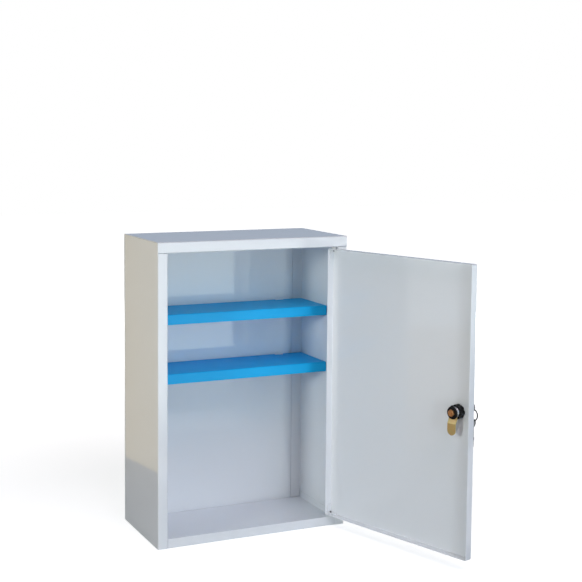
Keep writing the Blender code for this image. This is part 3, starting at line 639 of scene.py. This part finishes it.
def floor_material():
    """A pale floor that keeps the shadow and brightens with distance until it meets the white backdrop."""
    material, tree, shader = new_tree("pale_floor", FLOOR_COLOR, FLOOR_ROUGHNESS, specular=0.0)
    where = tree.nodes.new("ShaderNodeTexCoord").outputs["Object"]
    away = add(tree, "ShaderNodeVectorMath", operation="LENGTH")
    link(tree, where, away.inputs[0])
    glow = add(tree, "ShaderNodeMapRange", interpolation_type="SMOOTHSTEP")
    glow.inputs["From Min"].default_value = GLOW_NEAR_TO
    glow.inputs["From Max"].default_value = GLOW_FAR_FROM
    glow.inputs["To Min"].default_value = FLOOR_GLOW
    glow.inputs["To Max"].default_value = 1.0
    link(tree, away.outputs["Value"], glow.inputs["Value"])
    strength = add(tree, "ShaderNodeMath", operation="MULTIPLY")
    link(tree, shown_white(tree), strength.inputs[0])
    link(tree, glow.outputs["Result"], strength.inputs[1])
    shader.inputs["Emission Color"].default_value = (1.0, 1.0, 1.0, 1.0)
    link(tree, strength.outputs[0], shader.inputs["Emission Strength"])
    return material


def card_material(name, color, fade, dim, depth):
    """A glowing card, seen only in reflections, that may dim over a length toward its far edge."""
    material, tree, shader = new_tree(name, (0.0, 0.0, 0.0), 1.0, specular=0.0)
    shader.inputs["Emission Color"].default_value = (*color, 1.0)
    shader.inputs["Emission Strength"].default_value = 1.0
    if fade:
        split = tree.nodes.new("ShaderNodeSeparateXYZ")
        link(tree, tree.nodes.new("ShaderNodeTexCoord").outputs["Object"], split.inputs[0])
        ramp = add(tree, "ShaderNodeMapRange", interpolation_type="SMOOTHSTEP")
        ramp.inputs["From Min"].default_value = depth / 2
        ramp.inputs["From Max"].default_value = depth / 2 - fade
        ramp.inputs["To Min"].default_value = dim
        link(tree, split.outputs["Y"], ramp.inputs["Value"])
        link(tree, ramp.outputs["Result"], shader.inputs["Emission Strength"])
    return material


def reflector(name, width, depth, at, turn, color, fade=0.0, dim=0.0):
    """A card of one colour that only glossy surfaces see."""
    material = card_material(name, color, fade, dim, depth)
    stage_plane(name, width, depth, at, turn, material, only_reflected=True)


# Name, place, aim, width, height, power and colour of each lamp
LAMPS = [
    ("left_softbox", (-2.46, -1.12, 0.81), (0.20, -0.25, 0.25), 0.4, 0.4, 20.4, (0.95, 1.0, 0.94)),
    ("front_lamp", (0.05, -3.20, 0.30), (0.00, 0.00, 0.25), 0.35, 0.35, 13.4, (0.88, 0.98, 1.0)),
    ("overhead_softbox", (0.10, -1.80, 2.50), (0.00, -0.05, 0.15), 1.4, 1.2, 20.0, (1.0, 0.84, 0.87)),
    ("front_softbox", (0.40, -2.60, 1.30), (0.00, 0.00, 0.25), 2.2, 1.4, 14.0, (0.52, 0.76, 1.0)),
    ("rear_softbox", (1.60, 2.00, 0.30), (0.00, 0.00, 0.25), 1.4, 0.36, 30.0, (1.0, 0.98, 0.96)),
]

# Name, width, depth, place, turn and colour of each reflector card, then fade and dim end where it fades.
# The side's two cards meet along one line.
SIDE_CARD_TURN = -8.24
REFLECTORS = [
    ("front_reflector", 7.0, 7.4, (2.6, -4.30, 0.004), (0, 0, 0), (2.95, 3.32, 3.20), 0.6),
    ("left_reflector", 1.4, 1.0, (-0.264, 0.70, 0.7005), (0, 90, SIDE_CARD_TURN), (0.86, 0.69, 0.42)),
    ("rear_reflector", 3.4, 2.4, (1.30, 2.60, 1.30), (90, 0, 0), (0.38, 0.47, 0.60)),
    ("door_floor_reflector", 1.05, 1.7, (-1.05, 0.075, 0.0003), (0, 0, -90), (0.80, 0.58, 0.36), 0.9, 0.15),
    # A dark card on the floor in front: a painted shadow, the shaded floor in front of the cabinet as the
    # lower lip and stiles reflect it.
    ("near_floor_reflector", 0.55, 0.36, (0.075, -0.267, 0.0003), (0, 0, 0), (0.10, 0.11, 0.15)),
    # A grey card on the floor beside the left side: a painted shadow, the shaded floor that the side's
    # lower part reflects.
    (
        "side_floor_reflector", 0.30, 1.33, (-0.1317, 0.5632, 0.0005), (0, 0, SIDE_CARD_TURN),
        (0.17, 0.17, 0.21),
    ),
]

stage_plane("floor", FLOOR_SIZE, FLOOR_SIZE, (0.0, 0.0, 0.0), (0, 0, 0), floor_material())
for card in REFLECTORS:
    reflector(*card)

world = bpy.data.worlds.new("studio")
bpy.context.scene.world = world
world.use_nodes = True
sky = world.node_tree
sky.nodes.clear()
ambient = add(sky, "ShaderNodeBackground")
ambient.inputs["Color"].default_value = (*WORLD_COLOR, 1.0)
ambient.inputs["Strength"].default_value = 1.0
backdrop = add(sky, "ShaderNodeBackground")
backdrop.inputs["Color"].default_value = (1.0, 1.0, 1.0, 1.0)
backdrop.inputs["Strength"].default_value = 1.0
choose = sky.nodes.new("ShaderNodeMixShader")
sky_out = sky.nodes.new("ShaderNodeOutputWorld")
link(sky, shown_white(sky), choose.inputs[0])
link(sky, ambient.outputs[0], choose.inputs[1])
link(sky, backdrop.outputs[0], choose.inputs[2])
link(sky, choose.outputs[0], sky_out.inputs["Surface"])

for lamp_values in LAMPS:
    softbox(*lamp_values)

camera_data = bpy.data.cameras.new("camera")
camera_data.lens = CAMERA_LENS
camera_data.shift_x = CAMERA_SHIFT[0]
camera_data.shift_y = CAMERA_SHIFT[1]
camera = bpy.data.objects.new("camera", camera_data)
camera.location = CAMERA_AT
camera.rotation_euler = [math.radians(angle) for angle in CAMERA_TURN]
bpy.context.scene.collection.objects.link(camera)
bpy.context.scene.camera = camera
bpy.context.scene.view_settings.view_transform = "Standard"

bpy.context.view_layer.update()
